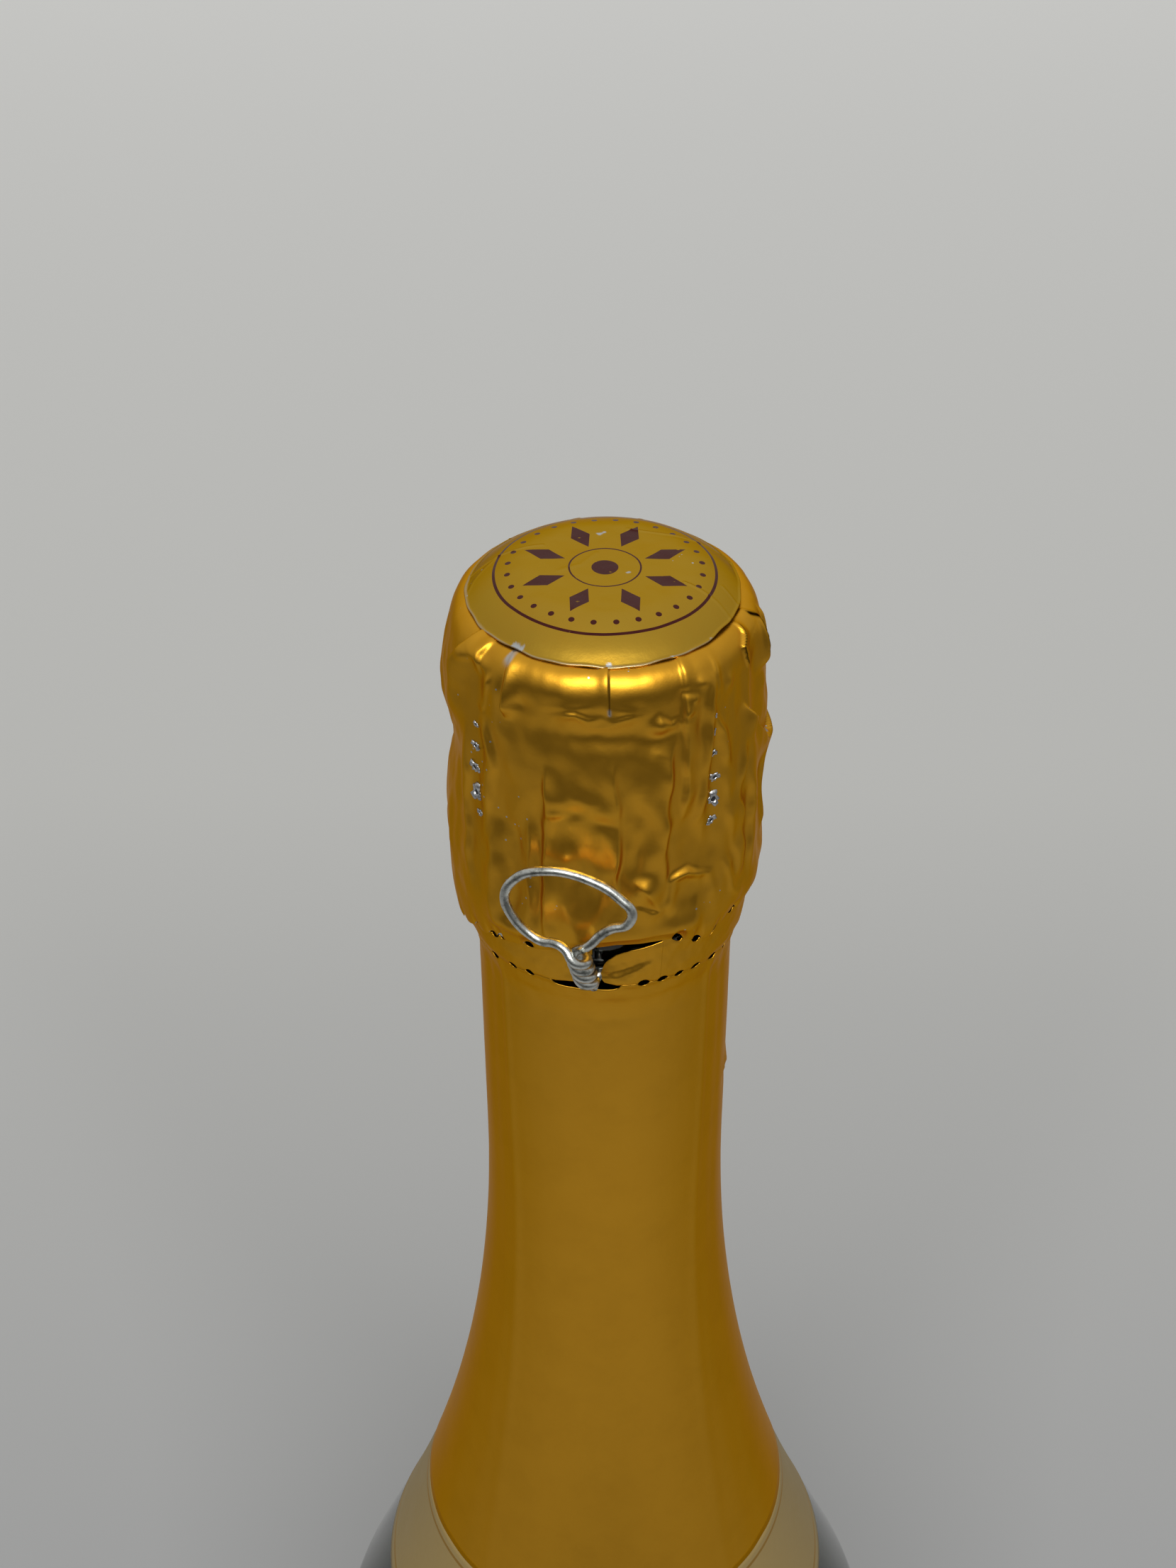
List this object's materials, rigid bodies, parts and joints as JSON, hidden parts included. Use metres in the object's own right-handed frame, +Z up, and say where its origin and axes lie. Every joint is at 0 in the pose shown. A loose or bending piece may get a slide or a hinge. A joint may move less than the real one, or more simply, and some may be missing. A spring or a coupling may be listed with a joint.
{
  "type": "sparkling wine bottle",
  "caption": "Sealed sparkling wine bottle: dark glass, wired cork under a perforated gold foil hood, long neck foil, and a twisted wire eyelet through the tear strip.",
  "frame": {"origin": "centre of the base, on the plane that the bottle stands on", "axes": "+Z up the bottle's axis; the wire eyelet and the front label face -Y; +X to the right seen from the front"},
  "size_m": [0.089, 0.0894, 0.321],
  "materials": {
    "bottle_glass": "polished dark green bottle glass",
    "wine": "clear pale gold liquid",
    "agglomerate_cork": "cork granules bound together, matt",
    "natural_cork": "natural cork with fine pores",
    "cap_plate": "gold lacquered tinplate",
    "galvanised_wire": "galvanised wire, soft shine",
    "gold_foil": "satin gold foil",
    "neck_gold_foil": "smooth satin gold foil",
    "collar_paper": "pale gold paper, matt",
    "label_paper": "cream paper with a gold border, blank"
  },
  "bodies": {
    "bottle": {"glass_bottle": "bottle_glass", "wine": "wine", "neck_foil": "neck_gold_foil", "tear_strip": "gold_foil", "collar_label": "collar_paper", "front_label": "label_paper", "back_label": "label_paper"},
    "cork": {"cork_body": "agglomerate_cork", "cork_disc_lower": "natural_cork", "cork_disc_upper": "natural_cork"},
    "cage": {"cage_cap": "cap_plate", "cage_ring_wire": "galvanised_wire", "cage_leg_1": "galvanised_wire", "cage_leg_2": "galvanised_wire", "cage_leg_3": "galvanised_wire", "cage_leg_4": "galvanised_wire", "belt_wire": "galvanised_wire"},
    "eyelet_root": {"eyelet_root": "galvanised_wire"},
    "eyelet": {"eyelet_loop": "galvanised_wire"},
    "hood": {"hood_disc": "gold_foil", "hood_skirt": "gold_foil"},
    "tab": {"tear_tab": "gold_foil"}
  },
  "joints": [
    {"name": "cork_pull", "type": "slide", "parent": "bottle", "child": "cork", "axis": [0, 0, 1], "range_m": [0, 0.055], "deforming": ["cage_leg_1", "cage_leg_2", "cage_leg_3", "cage_leg_4", "belt_wire"]},
    {"name": "cage_lift", "type": "slide", "parent": "cork", "child": "cage", "axis": [0, 0, 1], "range_m": [0, 0.045], "deforming": ["cage_leg_1", "cage_leg_2", "cage_leg_3", "cage_leg_4", "belt_wire"]},
    {"name": "hood_lift", "type": "slide", "parent": "cage", "child": "hood", "axis": [0, 0, 1], "range_m": [0, 0.045]},
    {"name": "eyelet_twist", "type": "hinge", "parent": "cage", "child": "eyelet_root", "pos_m": [-0.00195, -0.01775, 0.2746], "axis": [-0.2419, -0.9703, 0], "range_deg": [0, 1080]},
    {"name": "eyelet_fold", "type": "hinge", "parent": "eyelet_root", "child": "eyelet", "pos_m": [-0.00195, -0.01775, 0.2746], "axis": [0.9703, -0.2419, 0], "range_deg": [0, 100]},
    {"name": "tear_tab_lift", "type": "hinge", "parent": "bottle", "child": "tab", "pos_m": [0.0072, -0.01581, 0.2762], "axis": [0, 0, 1], "range_deg": [0, 110]}
  ]
}
